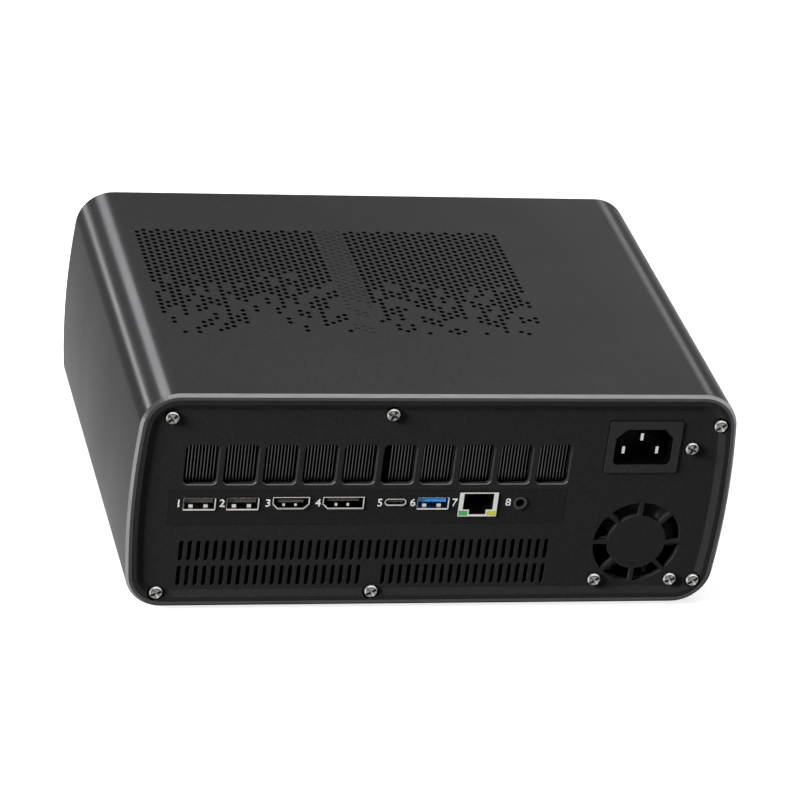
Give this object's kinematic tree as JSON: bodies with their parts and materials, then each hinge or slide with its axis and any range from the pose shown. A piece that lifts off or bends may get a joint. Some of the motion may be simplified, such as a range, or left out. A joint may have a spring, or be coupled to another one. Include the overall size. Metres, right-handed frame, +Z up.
{
  "type": "mini pc",
  "caption": "Desktop mini PC: a flat-topped aluminium sleeve with round corners and a recessed rear panel of sockets, air windows, slots, a mains inlet and fans.",
  "frame": {"origin": "on the table under the middle of the case, at the height of the feet's soles", "axes": "+X across the width, towards the board's end; +Y towards the rear with the sockets; +Z up"},
  "size_m": [0.246, 0.183, 0.098],
  "materials": {
    "anodised_black": "satin black anodised, fine bead blast",
    "panel_black": "matt black powder coat",
    "plate_black": "matt black, smooth",
    "zinc_steel": "zinc-plated steel sheet",
    "nickel": "nickel plate",
    "copper": "bare copper, cold-rolled",
    "fin_aluminium": "bare rolled aluminium",
    "board_green": "solder mask on glass fibre",
    "silicon": "polished die",
    "chip_black": "moulded package",
    "black_plastic": "moulded black plastic",
    "grey_plastic": "moulded dark grey plastic",
    "blue_plastic": "moulded blue plastic",
    "lamp_plastic": "clear tinted plastic",
    "rubber": "matt rubber",
    "drive_metal": "die-cast aluminium"
  },
  "bodies": {
    "case": {"case_sleeve": "anodised_black", "rear_panel": "panel_black", "io_plate": "plate_black", "front_frame": "fin_aluminium", "front_cover": "anodised_black", "rear_case_screws": "nickel", "front_frame_screws": "nickel", "rubber_feet": "rubber", "chassis_bench": "zinc_steel", "storage_drives": "drive_metal", "motherboard": "board_green", "board_standoffs": "nickel", "inner_screws": "nickel", "processor_substrate": "board_green", "processor_die": "silicon", "memory_chips": "chip_black", "power_inductors": "chip_black", "board_capacitors": "fin_aluminium", "coin_cell_holder": "black_plastic", "coin_cell": "nickel", "ssd_cards": "board_green", "ssd_chips": "chip_black", "ssd_sockets": "black_plastic", "ssd_screws": "nickel", "wireless_card": "board_green", "cold_plate": "copper", "cold_plate_screws": "nickel", "heat_pipes": "copper", "fin_stacks": "fin_aluminium", "left_blower_housing": "black_plastic", "right_blower_housing": "black_plastic", "blower_covers": "black_plastic", "type_a_shells": "nickel", "type_a_tongues": "black_plastic", "fast_port_tongue": "blue_plastic", "video_port_shells": "nickel", "video_port_inserts": "black_plastic", "type_c_shell": "nickel", "type_c_insert": "black_plastic", "network_jack_shell": "nickel", "network_jack_insert": "black_plastic", "network_jack_lights": "lamp_plastic", "audio_jacks": "black_plastic", "psu_housing": "zinc_steel", "psu_cover": "zinc_steel", "psu_board": "board_green", "psu_parts": "chip_black", "psu_heat_sinks": "fin_aluminium", "psu_fan_frame": "black_plastic", "psu_screws": "nickel", "ac_inlet_body": "grey_plastic", "ac_inlet_blades": "nickel", "board_power_cable": "black_plastic", "board_power_plug": "black_plastic", "power_switch": "black_plastic"},
    "psu_fan": {"psu_fan_rotor": "grey_plastic"},
    "left_rotor": {"left_impeller": "black_plastic"},
    "right_rotor": {"right_impeller": "black_plastic"},
    "button": {"power_button": "anodised_black"}
  },
  "joints": [
    {"name": "psu_fan_spin", "type": "hinge", "parent": "case", "child": "psu_fan", "pos_m": [-0.08745, 0.07885, 0.0299], "axis": [0, 1, 0], "continuous": true},
    {"name": "left_blower_spin", "type": "hinge", "parent": "case", "child": "left_rotor", "pos_m": [0.06348, 0.00805, 0.066], "axis": [0, 0, 1], "continuous": true},
    {"name": "right_blower_spin", "type": "hinge", "parent": "case", "child": "right_rotor", "pos_m": [-0.02158, 0.00805, 0.066], "axis": [0, 0, 1], "continuous": true},
    {"name": "power_button_press", "type": "slide", "parent": "case", "child": "button", "axis": [0, 1, 0], "range_m": [0, 0.0005], "stiffness_N_per_m": 1500}
  ]
}
